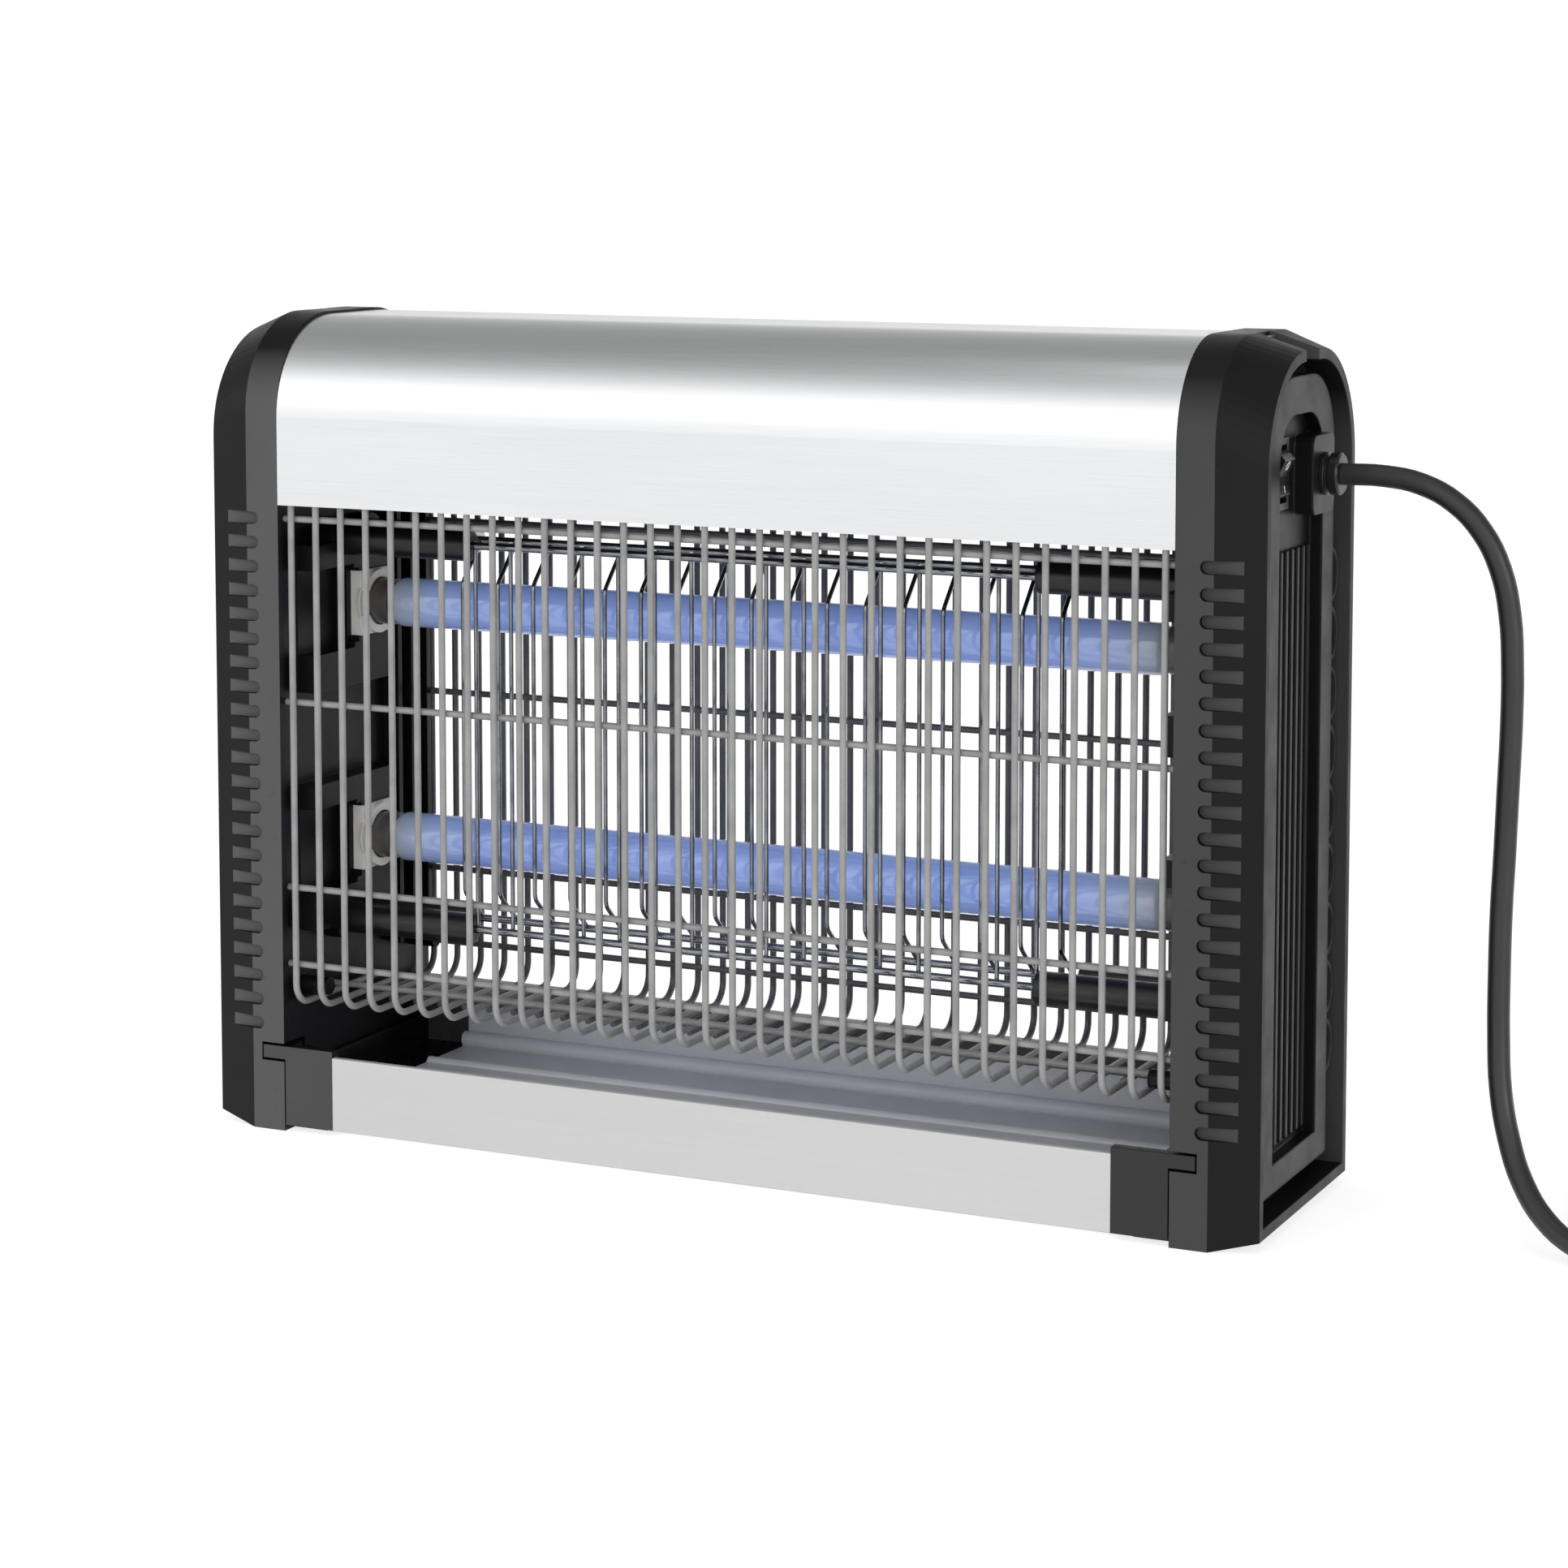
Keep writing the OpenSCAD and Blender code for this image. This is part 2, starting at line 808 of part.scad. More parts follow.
module tray_end() {
    side = in_x - tray_gap;
    difference() {
        union() {
            box([tray_x, -half_d, tray_low], [side, 42.7, 24.4]);
            box([tray_x, 41.1, 20], [side, 42.7, 27.2]);
            box([tray_x, -half_d, 24.3], [side, -38, 27.4]);
            box([side - 0.1, -half_d, 23.2], [in_x + 7.7, -36, 27.4]);
        }
        box([tray_x - 1, -41.7, 11], [side - 1.8, 41.1, 30]);
        box([tray_x - 1, -42, 0], [side - 1.8, 41.1, 9.4]);
        box([tray_x - 1, -30, 20], [side + 1, 41.1, 30]);
    }
}

module tray_end_left() {
    color([0.08, 0.08, 0.08])
        mirror_left() tray_end();
}

module tray_end_right() {
    color([0.08, 0.08, 0.08])
        tray_end();
}

// --- mains lead ----------------------------------------------------------------------------

module cord_gland() {
    color([0.06, 0.06, 0.06])
        translate([0, gland_y, gland_z])
            rotate([0, 90, 0])
                rotate_extrude($fn = 64)
                    polygon([[0, 174], [6.3, 174], [6.3, 175.4], [5.2, 175.4], [5.2, 176.4],
                             [6.2, 176.4], [6.2, 179], [5.7, gland_end], [0, gland_end]]);
}

module cord() {
    color([0.05, 0.05, 0.05])
        lead(lead_path, cord_d);
}

module coil_ring() {
    translate([coil_at[0], coil_at[1], 0])
        rotate_extrude($fn = 96)
            translate([coil_r, 0])
                round_box(-1.5 * cord_d, 1.5 * cord_d, 0.1, coil_h + 0.4, 3.2);
}

module cord_coil() {
    color([0.05, 0.05, 0.05])
        coil_ring();
}

module cord_tail() {
    color([0.05, 0.05, 0.05])
        lead(tail_path, cord_d);
}

module cord_tie() {
    y = coil_at[1] + coil_r;
    color([0.12, 0.12, 0.12])
        difference() {
            box([coil_at[0] - 2.5, y - 1.5 * cord_d - 1, 0],
                [coil_at[0] + 2.5, y + 1.5 * cord_d + 1, coil_h + 1.4]);
            coil_ring();
        }
}

// Straight round plug, lying on its side with the pins to the right
module plug_body() {
    color([0.06, 0.06, 0.06])
        translate(plug_at)
            rotate([0, 90, 0])
                difference() {
                    union() {
                        cylinder(h = 14, r1 = 5.5, r2 = 8, $fn = 48);
                        translate([0, 0, 14])
                            cylinder(h = 8, r1 = 12, r2 = 19, $fn = 64);
                        translate([0, 0, 22])
                            cylinder(h = 18, r = 19, $fn = 64);
                    }
                    for (side = [-1, 1])
                        translate([0, side * 18.6, 31])
                            cube([6, 5, 20], center = true);
                }
}

module plug_pins() {
    color([0.8, 0.78, 0.7])
        for (side = [-1, 1])
            translate(plug_at + [40, 0, side * 9.5])
                rotate([0, 90, 0])
                    cylinder(h = 19, r = 2.4, $fn = 32);
}

housing();
housing_floor();
cover_left();
cover_right();
end_frame_left();
end_frame_right();
side_panel_left();
side_panel_right();
front_guard();
rear_guard();
rear_crossbar();
upper_tube();
upper_tube_caps();
upper_tube_pins();
upper_rotors();
lower_tube();
lower_tube_caps();
lower_tube_pins();
lower_rotors();
upper_left_holder();
upper_right_holder();
lower_left_holder();
lower_right_holder();
front_electrodes();
rear_electrodes();
front_insulators();
rear_insulators();
electrode_ferrules();
transformer_core();
transformer_coil();
circuit_board();
board_parts();
terminal_block();
wiring();
switch_body();
switch_rocker();
switch_terminals();
hanger_left();
hanger_right();
cover_screws();
floor_screws();
hanger_screws();
tray();
tray_front();
tray_end_left();
tray_end_right();
cord_gland();
cord();
cord_coil();
cord_tail();
cord_tie();
plug_body();
plug_pins();
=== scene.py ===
import json
import math

import bmesh
import bpy
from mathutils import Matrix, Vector


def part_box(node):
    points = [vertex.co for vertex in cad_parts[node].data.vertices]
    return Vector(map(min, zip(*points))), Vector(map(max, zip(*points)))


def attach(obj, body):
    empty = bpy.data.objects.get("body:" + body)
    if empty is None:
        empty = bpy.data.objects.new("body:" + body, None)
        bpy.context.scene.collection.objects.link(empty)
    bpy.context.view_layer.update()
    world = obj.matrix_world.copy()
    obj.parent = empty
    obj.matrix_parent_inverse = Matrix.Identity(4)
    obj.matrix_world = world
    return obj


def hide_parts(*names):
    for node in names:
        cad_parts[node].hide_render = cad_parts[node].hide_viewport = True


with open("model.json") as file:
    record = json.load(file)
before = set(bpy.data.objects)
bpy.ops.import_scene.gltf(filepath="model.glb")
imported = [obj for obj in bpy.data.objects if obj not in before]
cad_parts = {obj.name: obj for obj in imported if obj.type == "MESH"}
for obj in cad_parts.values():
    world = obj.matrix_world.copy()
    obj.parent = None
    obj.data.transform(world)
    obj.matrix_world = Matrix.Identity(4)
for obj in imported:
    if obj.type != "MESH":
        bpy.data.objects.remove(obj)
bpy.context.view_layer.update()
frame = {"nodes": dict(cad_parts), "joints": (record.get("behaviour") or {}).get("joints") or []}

nodes = frame["nodes"]
scene = bpy.context.scene


# --- camera: front, 25 degrees round to the right, looking down 5 degrees --------------------

LOOK_DOWN = 5.269          # degrees
LOOK_ROUND = 25.134

camera_data = bpy.data.cameras.new("camera")
camera_data.lens = 87.207
camera_data.sensor_width = 36
camera_data.shift_y = -0.2
camera = bpy.data.objects.new("camera", camera_data)
camera.location = (0.499757, -1.052584, 0.321062)
camera.rotation_euler = (math.radians(90 - LOOK_DOWN), 0, math.radians(LOOK_ROUND))
scene.collection.objects.link(camera)
scene.camera = camera


# --- helpers ------------------------------------------------------------------------------------

def smooth(t, a, b):
    """0 before a, 1 after b, and an even curve between them."""
    t = min(1.0, max(0.0, (t - a) / (b - a)))
    return t * t * (3 - 2 * t)


def curve_piece(name, splines, radius, body, kind="BEZIER", sides=4, steps=6):
    """Round wire or lead along each list of points."""
    data = bpy.data.curves.new(name, "CURVE")
    data.dimensions = "3D"
    data.bevel_depth = 1.0
    data.bevel_resolution = sides
    data.resolution_u = steps
    data.use_fill_caps = True
    for points in splines:
        spline = data.splines.new(kind)
        if kind == "BEZIER":
            spline.bezier_points.add(len(points) - 1)
            for knot, point in zip(spline.bezier_points, points):
                knot.co = point
                knot.radius = radius
                knot.handle_left_type = knot.handle_right_type = "AUTO"
        else:
            spline.points.add(len(points) - 1)
            for knot, point in zip(spline.points, points):
                knot.co = (*point, 1)
                knot.radius = radius
    obj = bpy.data.objects.new(name, data)
    scene.collection.objects.link(obj)
    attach(obj, body)
    return obj


def mesh_piece(name, bm, body):
    """Object from a bmesh, riding on a body."""
    bmesh.ops.recalc_face_normals(bm, faces=bm.faces)
    data = bpy.data.meshes.new(name)
    bm.to_mesh(data)
    bm.free()
    obj = bpy.data.objects.new(name, data)
    scene.collection.objects.link(obj)
    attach(obj, body)
    return obj


# --- mains lead: one curve from the gland through the coil to the plug -----------------------

LEAD_D = 0.0066
EXIT = (0.1795, 0.013, 0.2185)
COIL = (0.298, 0.026)      # middle of the coil
COIL_R = 0.038             # mean radius of its turns
COIL_TURNS = 5
TURN_POINTS = 20
LOW_Z = 0.0035             # height of the lower layer of turns
HIGH_Z = 0.0102            # height of the upper layer

down = [EXIT, (0.192, 0.013, 0.2184), (0.203, 0.013, 0.2165), (0.213, 0.013, 0.2115),
        (0.221, 0.013, 0.2035), (0.2265, 0.013, 0.193), (0.2295, 0.013, 0.18),
        (0.2305, 0.013, 0.165), (0.2305, 0.013, 0.148), (0.23, 0.0125, 0.13),
        (0.2295, 0.012, 0.112), (0.229, 0.011, 0.094), (0.229, 0.01, 0.076),
        (0.2295, 0.0085, 0.058), (0.231, 0.006, 0.043), (0.2345, 0.0025, 0.03),
        (0.24, -0.0025, 0.019), (0.248, -0.008, 0.0105), (0.258, -0.013, 0.0055),
        (0.27, -0.017, 0.0037), (0.28, -0.0184, 0.0035), (0.29, -0.0186, 0.0035)]
tail = [(0.308, -0.0186, 0.0108), (0.318, -0.0186, 0.0132), (0.328, -0.0186, 0.0169),
        (0.336, -0.0186, 0.019), (0.344, -0.0186, 0.0195)]


def coil_point(t):
    """Point after t turns: inwards in two steps on the floor, up, and outwards in two steps."""
    inwards = smooth(t, 0.78, 0.95) + smooth(t, 1.62, 1.82)
    outwards = smooth(t, 3.16, 3.36) + smooth(t, 4.02, 4.2)
    r = COIL_R + LEAD_D * (1 - inwards + outwards)
    z = LOW_Z + (HIGH_Z - LOW_Z) * smooth(t, 2.4, 2.64)
    a = math.radians(360 * t - 90)
    return (COIL[0] + r * math.cos(a), COIL[1] + r * math.sin(a), z)


turns = [coil_point(k / TURN_POINTS) for k in range(COIL_TURNS * TURN_POINTS + 1)]
route = down + turns + tail
lead = curve_piece("mains_lead", [route], LEAD_D / 2, "frame", steps=4, sides=3)
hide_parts("cord", "cord_coil", "cord_tail")


# --- materials -----------------------------------------------------------------------------------

def rgb(r, g, b):
    """Colour from 0-255 display values."""
    def one(c):
        c /= 255
        return c / 12.92 if c <= 0.04045 else ((c + 0.055) / 1.055) ** 2.4
    return (one(r), one(g), one(b), 1.0)


def maths(tree, operation, *values):
    """Output of a Math node whose inputs are sockets or numbers."""
    node = tree.nodes.new("ShaderNodeMath")
    node.operation = operation
    for socket, value in zip(node.inputs, values):
        if isinstance(value, bpy.types.NodeSocket):
            tree.links.new(value, socket)
        else:
            socket.default_value = value
    return node.outputs[0]


def fill_ramp(node, stops):
    """Sets the (place, colour) stops of a colour ramp."""
    elements = node.color_ramp.elements
    for k, (place, colour) in enumerate(stops):
        element = elements[k] if k < 2 else elements.new(place)
        element.position = place
        element.color = colour


def grey(value):
    """Linear grey colour."""
    return (value, value, value, 1)


def paler(colour, gain, lift=0.0):
    """The colour times gain plus lift, and no brighter than white."""
    return tuple(min(1.0, c * gain + lift) for c in colour[:3]) + (1.0,)


class Finish:
    """A Principled material built up from noise in the part's own coordinates, in metres."""

    def __init__(self, name, metal=0.0, **sockets):
        self.material = bpy.data.materials.new(name)
        self.material.use_nodes = True
        self.tree = self.material.node_tree
        self.shader = self.tree.nodes["Principled BSDF"]
        self.shader.inputs["Metallic"].default_value = metal
        for socket, value in sockets.items():
            self.shader.inputs[socket.replace("_", " ")].default_value = value
        self.coord = self.tree.nodes.new("ShaderNodeTexCoord").outputs["Object"]

    def link(self, a, b):
        self.tree.links.new(a, b)

    def noise(self, scale, detail=2.0, stretch=(1, 1, 1), rough=0.5):
        mapping = self.tree.nodes.new("ShaderNodeMapping")
        mapping.inputs["Scale"].default_value = stretch
        self.link(self.coord, mapping.inputs["Vector"])
        noise = self.tree.nodes.new("ShaderNodeTexNoise")
        noise.inputs["Scale"].default_value = scale
        noise.inputs["Detail"].default_value = detail
        noise.inputs["Roughness"].default_value = rough
        self.link(mapping.outputs["Vector"], noise.inputs["Vector"])
        return noise.outputs["Fac"]

    def ramp(self, value, stops):
        node = self.tree.nodes.new("ShaderNodeValToRGB")
        fill_ramp(node, stops)
        self.link(value, node.inputs["Fac"])
        return node.outputs["Color"]

    def span(self, value, low, high, start=0.3, end=0.7):
        node = self.tree.nodes.new("ShaderNodeMapRange")
        node.inputs["From Min"].default_value = start
        node.inputs["From Max"].default_value = end
        node.inputs["To Min"].default_value = low
        node.inputs["To Max"].default_value = high
        self.link(value, node.inputs["Value"])
        return node.outputs["Result"]

    def painted_light_mask(self):
        """How squarely the surface looks to the front or the rear, from 0 to 1: where the paler
        painted light goes.
        """
        coord = self.tree.nodes.new("ShaderNodeTexCoord")
        parts = self.tree.nodes.new("ShaderNodeSeparateXYZ")
        self.link(coord.outputs["Normal"], parts.inputs[0])
        along_y = maths(self.tree, "ABSOLUTE", parts.outputs["Y"])
        along_x = maths(self.tree, "ABSOLUTE", parts.outputs["X"])
        to_front = self.span(along_y, 0.0, 1.0, 0.75, 1.0)
        not_to_side = self.span(along_x, 1.0, 0.0, 0.06, 0.17)
        return maths(self.tree, "MULTIPLY", to_front, not_to_side)

    def mix(self, share, a, b):
        node = self.tree.nodes.new("ShaderNodeMix")
        node.data_type = "RGBA"
        for socket, value in ((node.inputs[0], share), (node.inputs[6], a), (node.inputs[7], b)):
            if isinstance(value, bpy.types.NodeSocket):
                self.link(value, socket)
            else:
                socket.default_value = value
        return node.outputs[2]

    def colour(self, value):
        self.link(value, self.shader.inputs["Base Color"])

    def rough(self, value):
        self.link(value, self.shader.inputs["Roughness"])

    def bump(self, *layers, edge=0.0):
        """Each layer is (height, strength, depth in metres), over edges rounded by edge metres."""
        last = None
        if edge:
            corner = self.tree.nodes.new("ShaderNodeBevel")
            corner.samples = 6
            corner.inputs["Radius"].default_value = edge
            last = corner.outputs["Normal"]
        for height, strength, depth in layers:
            node = self.tree.nodes.new("ShaderNodeBump")
            node.inputs["Strength"].default_value = strength
            node.inputs["Distance"].default_value = depth
            self.link(height, node.inputs["Height"])
            if last is not None:
                self.link(last, node.inputs["Normal"])
            last = node.outputs["Normal"]
        self.link(last, self.shader.inputs["Normal"])


def moulded(name, dark, light, rough, spread=0.06, grain=1800, depth=0.00003, patch=45, edge=0.0,
            front=None, **sockets):
    """Moulded plastic: faint flow marks, a fine spark-eroded grain and small rubbed places.

    front is a paler colour painted on the faces that look to the front and the rear: painted light,
    for the light that falls more squarely on them."""
    f = Finish(name, **sockets)
    flow = f.noise(patch, 3, (1, 1, 0.5))
    body = f.ramp(flow, [(0.3, dark), (0.7, light)])
    # Painted light: faces that look to the front or the rear take the paler front colour.
    if front:
        painted_light_tones = [(0.3, front), (0.7, paler(front, 1.12))]
        body = f.mix(f.painted_light_mask(), body, f.ramp(flow, painted_light_tones))
    rubbed = f.ramp(f.noise(260, 4, rough=0.7), [(0.62, grey(0)), (0.78, grey(1))])
    f.colour(f.mix(maths(f.tree, "MULTIPLY", rubbed, 0.3), body, paler(light, 1.5, 0.006)))
    f.rough(f.span(f.noise(90, 4), rough - spread, rough + spread))
    coarse = f.noise(grain * 0.45, 3)
    f.bump((f.noise(grain, 2), 0.5, depth), (coarse, 0.25, depth), edge=edge)
    return f.material


def metal_wire(name, dark, light, rough, spread=0.05, metal=1.0, bump=0.00002):
    """Drawn wire or plated steel: soft tone changes along it, fine pits."""
    f = Finish(name, metal)
    f.colour(f.ramp(f.noise(120, 3), [(0.32, dark), (0.68, light)]))
    f.rough(f.span(f.noise(400, 3), rough - spread, rough + spread))
    f.bump((f.noise(1500, 2), 0.3, bump))
    return f.material


def brushed(name, dark, light, rough, spread, grain, depth, metal=1.0, edge=0.0):
    """Brushed metal with its grain along X: grain is how fine it is, depth how deep."""
    f = Finish(name, metal)
    fine = f.noise(grain, 4, (0.006, 1, 1), 0.65)
    broad = f.noise(30, 2, (0.15, 1, 1))
    tone = f.ramp(fine, [(0.3, dark), (0.7, light)])
    f.colour(f.mix(0.35, tone, f.ramp(broad, [(0.3, dark), (0.7, light)])))
    f.rough(f.span(f.noise(grain * 0.8, 3, (0.01, 1, 1)), rough - spread, rough + spread))
    f.bump((fine, 0.35, depth), edge=edge)
    return f.material


FADE_START = 0.095         # how far from a tube's middle its blue starts to fade
FADE_END = 0.1335


def tube_glass():
    """Phosphor-coated glass lit from inside, fading to grey at its ends."""
    f = Finish("tube_glass", Roughness=0.12, Coat_Weight=0.8, Coat_Roughness=0.04)
    split = f.tree.nodes.new("ShaderNodeSeparateXYZ")
    f.link(f.coord, split.inputs[0])
    from_middle = maths(f.tree, "ABSOLUTE", split.outputs["X"])
    place = f.span(from_middle, 0.0, 1.0, FADE_START, FADE_END)
    cloud = f.noise(55, 3)
    blue = f.ramp(cloud, [(0.3, rgb(128, 150, 212)), (0.7, rgb(148, 168, 222))])
    fade = f.ramp(place, [(0.0, grey(0)), (0.55, grey(0.35)), (0.95, grey(1))])
    f.colour(f.mix(fade, blue, rgb(150, 158, 166)))
    f.link(f.mix(fade, rgb(120, 146, 214), rgb(90, 98, 106)), f.shader.inputs["Emission Color"])
    f.shader.inputs["Emission Strength"].default_value = 0.3
    f.rough(f.span(cloud, 0.1, 0.18))
    f.bump((f.noise(70, 2), 0.1, 0.0001))
    return f.material


DULL = {"Specular_IOR_Level": 0.15}
PAINTED = {"metal": 0.0}
# front paints light on the faces of the covers that look to the front and the rear.
black = moulded("black_plastic", rgb(13, 13, 14), rgb(18, 18, 19), 0.42, edge=0.0006,
                front=rgb(58, 58, 59), **DULL)
# The left cover's copy of the black plastic has a paler front colour: painted light, for the key light
# that falls nearer the left cover.
black_painted_light_left = moulded("black_plastic_painted_light_left", rgb(13, 13, 14), rgb(18, 18, 19), 0.42, edge=0.0006,
                     front=rgb(76, 76, 77), **DULL)
panel_black = moulded("panel_black_plastic", rgb(15, 15, 16), rgb(20, 20, 21), 0.36, edge=0.0012,
                      **DULL)
# The ribs' paler grey is painted highlight, for the light caught on their curved edges.
rib_painted_highlight = moulded("rib_black_plastic", rgb(44, 44, 45), rgb(56, 56, 57), 0.3, edge=0.0006,
                    **DULL)
inner_black = moulded("inner_black_plastic", rgb(14, 14, 15), rgb(20, 20, 22), 0.34, edge=0.0004,
                      **DULL)
materials = {
    "housing": brushed("brushed_aluminium", rgb(213, 214, 215), rgb(224, 225, 226), 0.3, 0.03,
                       5000, 0.000006),
    "housing_floor": moulded("floor_black", rgb(30, 30, 31), rgb(38, 38, 39), 0.5, edge=0.0005),
    "rear_crossbar": moulded("crossbar_grey", rgb(62, 62, 64), rgb(74, 74, 76), 0.32,
                             edge=0.0005),
    "cover_left": black_painted_light_left, "cover_right": black,
    "side_panel_left": panel_black, "side_panel_right": panel_black,
    "end_frame_left": inner_black, "end_frame_right": inner_black,
    "front_guard": metal_wire("guard_light", rgb(128, 128, 128), rgb(144, 144, 143), 0.34, 0.06,
                              **PAINTED),
    # The rear guard is the same grey paint made darker, as painted shade: it lies behind the cage, out
    # of the light.
    "rear_guard": metal_wire("guard_painted_shade", rgb(82, 82, 84), rgb(98, 98, 100), 0.34, 0.06,
                             **PAINTED),
    "upper_tube": tube_glass(),
    "upper_tube_caps": moulded("cap_dark", rgb(66, 63, 62), rgb(92, 89, 87), 0.34, grain=900,
                               edge=0.0004),
    "upper_tube_pins": metal_wire("pin_brass", rgb(176, 160, 118), rgb(205, 188, 146), 0.25),
    "upper_rotors": moulded("rotor_white", rgb(196, 194, 188), rgb(212, 210, 204), 0.4,
                            edge=0.0003),
    "upper_left_holder": moulded("holder_white", rgb(214, 212, 208), rgb(228, 227, 223), 0.38,
                                 edge=0.0006),
    "front_electrodes": metal_wire("electrode_chrome", rgb(118, 120, 124), rgb(158, 160, 164),
                                   0.12, 0.04),
    "front_insulators": moulded("insulator_black", rgb(16, 16, 17), rgb(24, 24, 25), 0.3,
                                grain=1200, edge=0.0008),
    "electrode_ferrules": metal_wire("ferrule_nickel", rgb(150, 150, 152), rgb(205, 205, 207),
                                     0.25, 0.1, bump=0.0001),
    "transformer_core": brushed("core_steel", rgb(96, 97, 100), rgb(128, 129, 132), 0.45, 0.1,
                                2500, 0.00005),
    "transformer_coil": moulded("coil_tape", rgb(196, 160, 60), rgb(214, 180, 84), 0.35,
                                grain=500, depth=0.0001, edge=0.001),
    "circuit_board": moulded("board_green", rgb(24, 82, 52), rgb(34, 100, 66), 0.32,
                             grain=700),
    "board_parts": moulded("component_blue", rgb(34, 48, 96), rgb(48, 64, 118), 0.35,
                           edge=0.0004),
    "terminal_block": moulded("terminal_white", rgb(206, 206, 198), rgb(222, 222, 214), 0.4,
                              edge=0.0004),
    "wiring": moulded("wire_red", rgb(132, 28, 24), rgb(158, 38, 32), 0.42, grain=900),
    "switch_body": moulded("switch_black", rgb(10, 10, 11), rgb(15, 15, 16), 0.3, edge=0.0004),
    "switch_rocker": moulded("rocker_black", rgb(12, 12, 13), rgb(17, 17, 18), 0.26,
                             edge=0.0006),
    "hanger_left": metal_wire("zinc_steel", rgb(148, 149, 150), rgb(180, 181, 182), 0.36, 0.08),
    # The tray's near-white is lighter than the tray's own grey: painted light, to lift the shaded
    # trough.
    "tray": moulded("tray_grey", rgb(208, 210, 216), rgb(220, 222, 228), 0.34, patch=18,
                    edge=0.0005),
    "tray_front": brushed("tray_pale", rgb(184, 184, 185), rgb(191, 191, 192), 0.46, 0.05,
                          3500, 0.000006, metal=0.25, edge=0.0006),
    # Both tray ends paint light on their faces that look to the front; the right copy's front is
    # darker, as painted shade.
    "tray_end_left": moulded("tray_black", rgb(14, 14, 15), rgb(20, 20, 21), 0.26, edge=0.001,
                             front=rgb(66, 66, 67), **DULL),
    "tray_end_right": moulded("tray_black_painted_shade_right", rgb(14, 14, 15), rgb(20, 20, 21), 0.26,
                              edge=0.001, front=rgb(46, 46, 47), **DULL),
    "cord_gland": moulded("gland_black", rgb(10, 10, 11), rgb(15, 15, 16), 0.34, edge=0.0005),
    "cord_tie": moulded("tie_black", rgb(30, 30, 30), rgb(42, 42, 42), 0.5, edge=0.0004),
    "plug_body": moulded("plug_black", rgb(22, 22, 23), rgb(30, 30, 31), 0.38, edge=0.001),
    "plug_pins": metal_wire("plug_nickel", rgb(190, 187, 176), rgb(214, 211, 202), 0.22),
}
same = {
    "lower_tube": "upper_tube", "lower_tube_caps": "upper_tube_caps",
    "lower_tube_pins": "upper_tube_pins", "lower_rotors": "upper_rotors",
    "upper_right_holder": "upper_left_holder", "lower_left_holder": "upper_left_holder",
    "lower_right_holder": "upper_left_holder", "rear_electrodes": "front_electrodes",
    "rear_insulators": "front_insulators", "hanger_right": "hanger_left",
    "cover_screws": "hanger_left", "floor_screws": "hanger_left",
    "hanger_screws": "hanger_left", "switch_terminals": "upper_tube_pins",
    "cord": "cord_gland", "cord_coil": "cord_gland", "cord_tail": "cord_gland",
}
for name, like in same.items():
    materials[name] = materials[like]
for name, obj in nodes.items():
    obj.data.materials.clear()
    obj.data.materials.append(materials[name])
lead_skin = moulded("lead_black", rgb(22, 22, 23), rgb(30, 30, 31), 0.46, patch=80)
lead.data.materials.append(lead_skin)


# --- even shading across the facets of the covers' corners ---------------------------------------

for name in ("cover_left", "cover_right"):
    obj = nodes[name]
    weld = obj.modifiers.new("weld", "WELD")
    weld.merge_threshold = 0.000004
    split = obj.modifiers.new("split", "EDGE_SPLIT")
    split.split_angle = math.radians(11)
    normals = obj.modifiers.new("normals", "WEIGHTED_NORMAL")
    normals.keep_sharp = True
    normals.weight = 70


# --- bent electrode wires: one curve with a rounded bend at each knee ------------------------------

def rounded(points, radius, steps=6):
    """The same path with its corners turned into arcs."""
    path = [Vector(points[0])]
    for a, b, c in zip(points, points[1:], points[2:]):
        a, b, c = Vector(a), Vector(b), Vector(c)
        u, v = (a - b).normalized(), (c - b).normalized()
        half = u.angle(v) / 2
        reach = radius / math.tan(half)
        centre = b + (u + v).normalized() * radius / math.sin(half)
        start, stop = b + u * reach - centre, b + v * reach - centre
        for k in range(steps + 1):
            path.append(centre + start.slerp(stop, k / steps) * radius)
    path.append(Vector(points[-1]))
    return [tuple(p) for p in path]


ROD_R = 0.0012
WIRE_R = 0.0007
WIRE_PITCH = 0.01272
BEND_R = 0.0045
BENT_Y = -0.0107           # where the straight middle of a bent wire stands
TOP_KNEE = 0.0124          # how far the upper knee lies below the top rod
LOW_KNEE = 0.0106          # how far the lower knee lies above the low rod

rear_low, rear_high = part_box("rear_electrodes")
top_z = rear_high.z - ROD_R
low_z = rear_low.z + ROD_R
rod_y = rear_high.y - ROD_R
wires = []
for k in range(-8, 9):
    x = k * WIRE_PITCH
    wires.append(rounded([(x, rod_y, top_z), (x, BENT_Y, top_z - TOP_KNEE),
                          (x, BENT_Y, low_z + LOW_KNEE), (x, rod_y, low_z)], BEND_R))
bent = curve_piece("bent_electrode_wires", wires, WIRE_R, "frame",
                   kind="POLY", sides=3)
bent.data.materials.append(materials["front_electrodes"])
rods = curve_piece("rear_electrode_rods",
                   [[(rear_low.x, rod_y, z), (rear_high.x, rod_y, z)] for z in (top_z, low_z)],
                   ROD_R, "frame", kind="POLY", sides=5)
rods.data.materials.append(materials["front_electrodes"])
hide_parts("rear_electrodes")
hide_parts("rear_electrodes")


# --- marks on the rocker ---------------------------------------------------------------------------

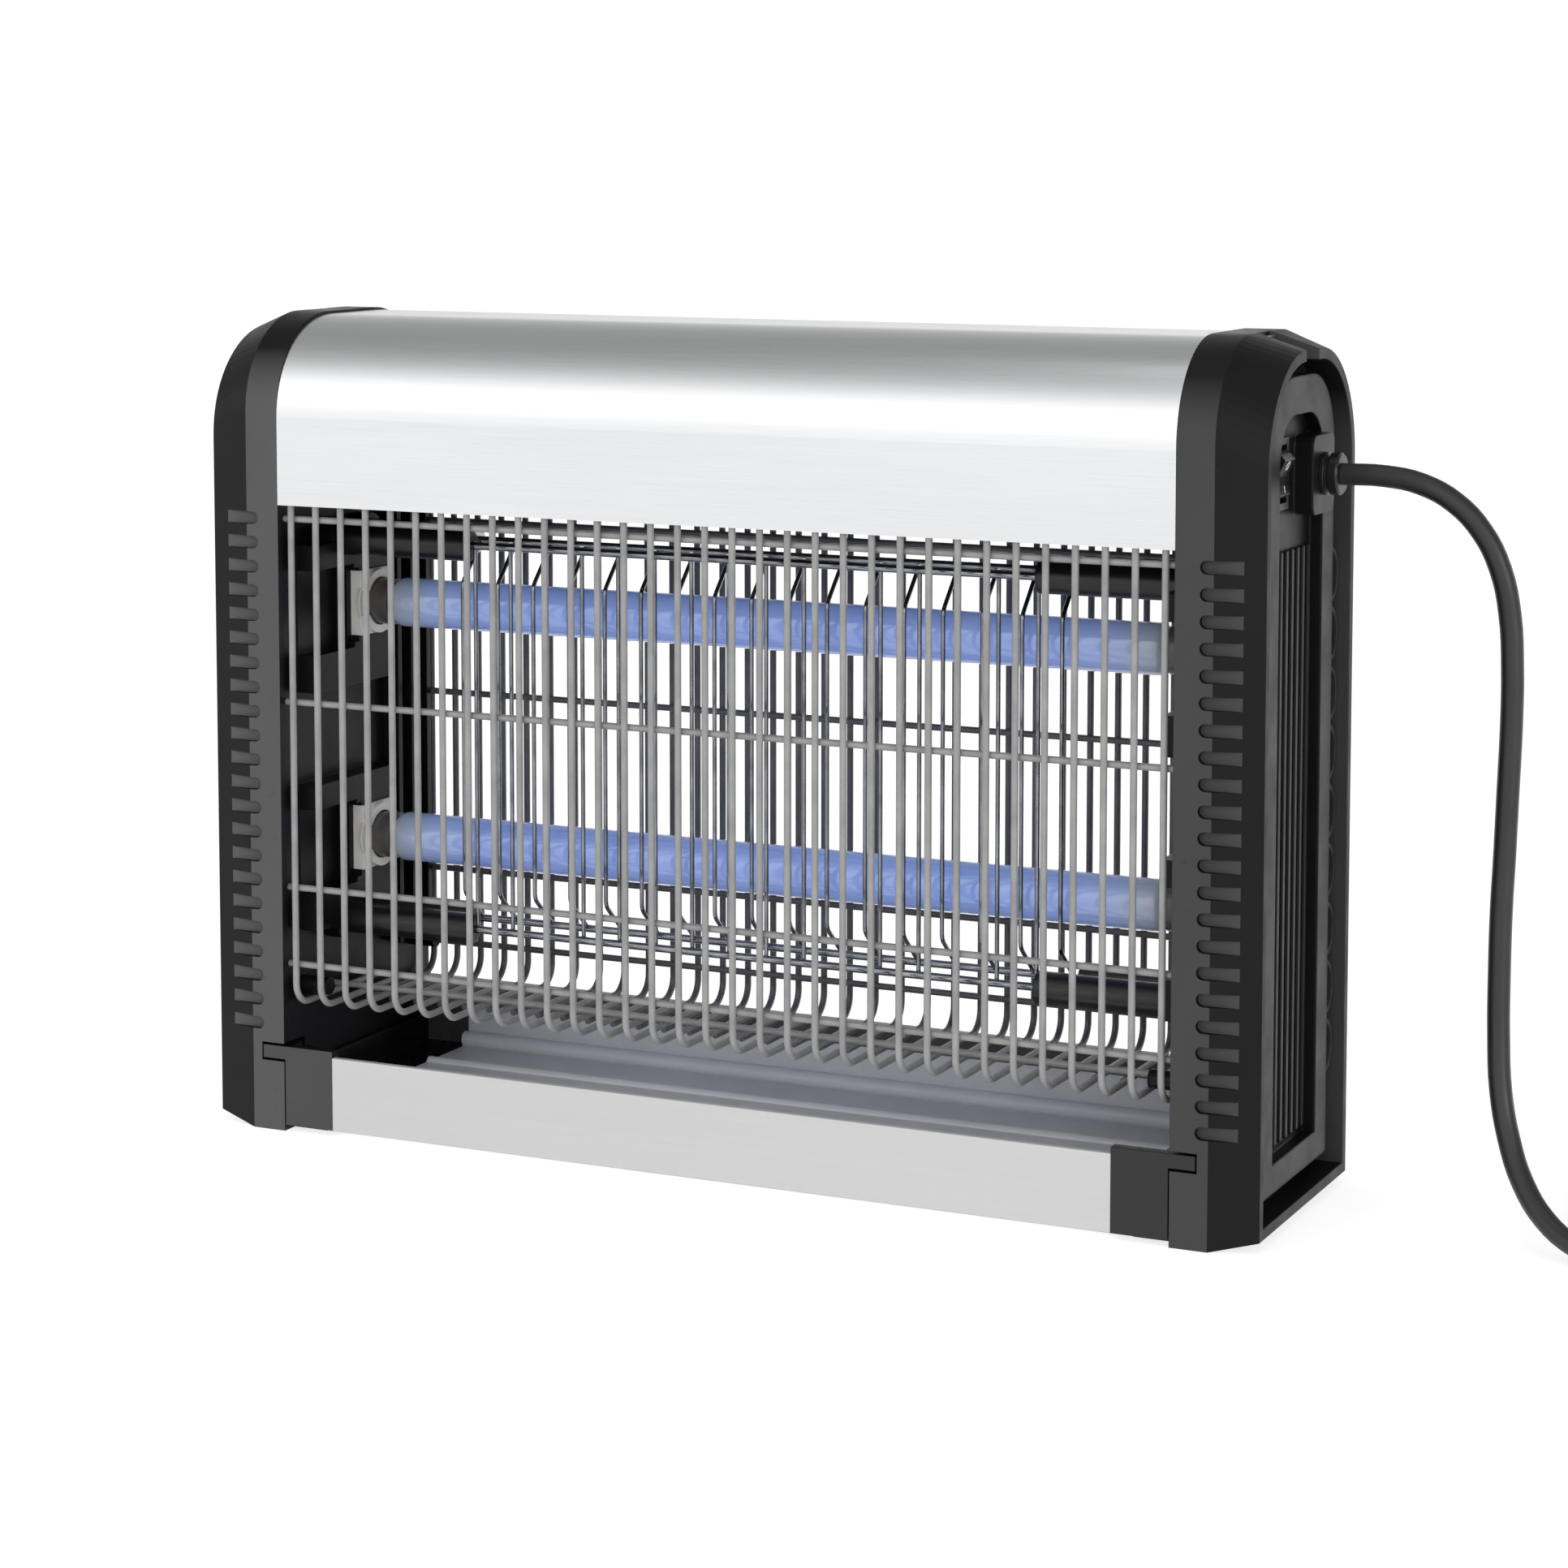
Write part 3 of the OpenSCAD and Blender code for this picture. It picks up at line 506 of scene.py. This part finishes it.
def rocker_marks():
    """The generic O and I, as thin raised lines on the two halves of the rocker."""
    joint = next(j for j in frame["joints"] if j["name"] == "switch_tilt")
    axis = Vector(joint["pos_m"])
    tilt = math.radians(8)             # the rocker's tilt at rest
    line_r = 0.00016
    ring_up, ring_half_height, ring_half_width = 0.0034, 0.0013, 0.001
    bar_ups = (-0.0045, -0.0035, -0.0025)

    def face(up):
        """How far the rocker's face is from its axis: two slopes within a round."""
        slope = 0.0046 + 0.3 * abs(up)
        round_face = math.sqrt(0.008 ** 2 - up ** 2)
        return min(slope, round_face) - 0.00002

    def place(side, up):
        out = face(up)
        x = out * math.cos(tilt) + up * math.sin(tilt)
        z = -out * math.sin(tilt) + up * math.cos(tilt)
        return (axis.x + x, axis.y + side, axis.z + z)

    ring = []
    for k in range(25):
        a = 2 * math.pi * k / 24
        ring.append(place(ring_half_width * math.cos(a), ring_up + ring_half_height * math.sin(a)))
    bar = [place(0.0, up) for up in bar_ups]
    marks = curve_piece("rocker_marks", [ring, bar], line_r, "rocker",
                        kind="POLY", sides=2)
    marks.data.materials.append(materials["terminal_block"])


rocker_marks()


# --- curved ribs across the channel beside each panel ------------------------------------------------

RIB_COUNT = 9
RIB_PITCH = 0.0178
RIB_LOW_Z = 0.0445         # middle of the lowest rib
RIB_INNER_R = 0.0072
RIB_OUTER_R = 0.0085
RIB_SHORT = 0.0005         # taken off the radius for how far a rib reaches
RIB_STEPS = 16
RIB_DEPTH = (0.169, 0.1715)
# (which face, where its ribs start, how far a rib reaches for each unit of its radius)
RIB_ROWS = [(-1, 0.0312, 0.78), (1, 0.0283, 1.08)]


def arc_ribs(name, side):
    """Half rings that cross the channel, in a row at the front and at the rear of the panel."""
    bm = bmesh.new()

    def ring(face, start, reach, z, r):
        """Pairs of corners, deep and shallow, round half a ring of radius r."""
        corners = []
        for j in range(RIB_STEPS + 1):
            a = math.radians(-90 + j * 180 / RIB_STEPS)
            y = start + (r - RIB_SHORT) * math.cos(a) * reach
            corners.append([bm.verts.new((side * x, face * y, z + r * math.sin(a)))
                            for x in RIB_DEPTH])
        return corners

    for face, start, reach in RIB_ROWS:
        for k in range(RIB_COUNT):
            z = RIB_LOW_Z + k * RIB_PITCH
            inner = ring(face, start, reach, z, RIB_INNER_R)
            outer = ring(face, start, reach, z, RIB_OUTER_R)
            for j in range(RIB_STEPS):
                for wall in (inner, outer):
                    bm.faces.new((wall[j][0], wall[j][1], wall[j + 1][1], wall[j + 1][0]))
                for e in (0, 1):
                    bm.faces.new((inner[j][e], outer[j][e], outer[j + 1][e], inner[j + 1][e]))
            for j in (0, RIB_STEPS):
                bm.faces.new((inner[j][0], inner[j][1], outer[j][1], outer[j][0]))
    ribs = mesh_piece(name, bm, "frame")
    ribs.data.materials.append(rib_painted_highlight)


arc_ribs("channel_ribs_right", 1)
arc_ribs("channel_ribs_left", -1)


# --- floor and light -------------------------------------------------------------------------------

FLOOR_HALF = 40
FLOOR_GLOW = 0.76
SKY_STRENGTH = 1.7
# (place, brightness) from the front horizon over the top to the rear horizon
SKY_ARCH = [(0.0, 0.7), (0.1, 1.0), (0.19, 0.97), (0.27, 0.62), (0.36, 0.34), (0.46, 0.22),
            (0.56, 0.2), (0.74, 0.24), (0.9, 0.4), (0.96, 0.8)]
# (name, place, width, power)
LIGHTS = [("key", (2.3, -1.0, 0.7), 0.8, 12), ("top", (0.1, -0.3, 2.2), 0.9, 4)]
LIGHTS_AIM = Vector((0, 0, 0.12))


def pale_floor():
    """Wide pale floor, with a little light of its own so that it stays even."""
    bm = bmesh.new()
    bmesh.ops.create_grid(bm, x_segments=2, y_segments=2, size=FLOOR_HALF)
    data = bpy.data.meshes.new("floor")
    bm.to_mesh(data)
    bm.free()
    pale = Finish("floor_pale", Roughness=0.9, Specular_IOR_Level=0.1)
    pale.colour(pale.ramp(pale.noise(2, 2), [(0.3, rgb(178, 178, 178)), (0.7, rgb(181, 181, 181))]))
    pale.shader.inputs["Emission Color"].default_value = grey(1)
    pale.shader.inputs["Emission Strength"].default_value = FLOOR_GLOW
    data.materials.append(pale.material)
    floor = bpy.data.objects.new("floor", data)
    scene.collection.objects.link(floor)


def soft_sky():
    """World whose brightness depends on the angle round the X axis."""
    world = bpy.data.worlds.new("studio")
    world.use_nodes = True
    tree = world.node_tree
    back = tree.nodes["Background"]
    coord = tree.nodes.new("ShaderNodeTexCoord")
    split = tree.nodes.new("ShaderNodeSeparateXYZ")
    tree.links.new(coord.outputs["Generated"], split.inputs[0])
    forward = maths(tree, "MULTIPLY", split.outputs["Y"], -1.0)
    angle = maths(tree, "ARCTAN2", split.outputs["Z"], forward)
    ramp = tree.nodes.new("ShaderNodeValToRGB")
    fill_ramp(ramp, [(place, grey(value)) for place, value in SKY_ARCH])
    tree.links.new(maths(tree, "DIVIDE", angle, math.pi), ramp.inputs["Fac"])
    tree.links.new(ramp.outputs["Color"], back.inputs["Color"])
    back.inputs["Strength"].default_value = SKY_STRENGTH
    scene.world = world


def soft_lights():
    """Two soft square lights, both turned towards the middle of the object."""
    for name, place, width, power in LIGHTS:
        data = bpy.data.lights.new(name, "AREA")
        data.shape = "SQUARE"
        data.size = width
        data.energy = power
        light = bpy.data.objects.new(name, data)
        light.location = place
        light.rotation_euler = (LIGHTS_AIM - Vector(place)).to_track_quat("-Z", "Y").to_euler()
        scene.collection.objects.link(light)


pale_floor()
soft_sky()
soft_lights()
scene.view_settings.view_transform = "Standard"
